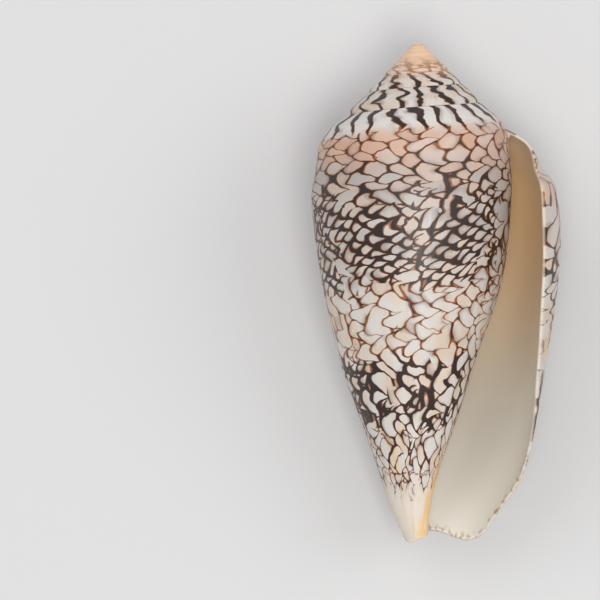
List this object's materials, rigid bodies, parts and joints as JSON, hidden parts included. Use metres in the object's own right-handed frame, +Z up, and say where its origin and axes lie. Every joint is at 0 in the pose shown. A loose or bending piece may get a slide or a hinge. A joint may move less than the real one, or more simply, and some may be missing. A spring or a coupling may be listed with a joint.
{
  "type": "cone shell",
  "caption": "Tented cone snail shell: low pointed spire, tapering last whorl and a long narrow mouth, lying on its back.",
  "frame": {"origin": "middle of the shell's length and width, on the surface that it lies on", "axes": "+Y towards the apex, +Z up, with the mouth facing up"},
  "size_m": [0.0274, 0.0554, 0.0247],
  "materials": {
    "shell": "glossy natural shell, white with brown and black net pattern"
  },
  "bodies": {
    "root": {"shell": "shell"}
  },
  "joints": []
}
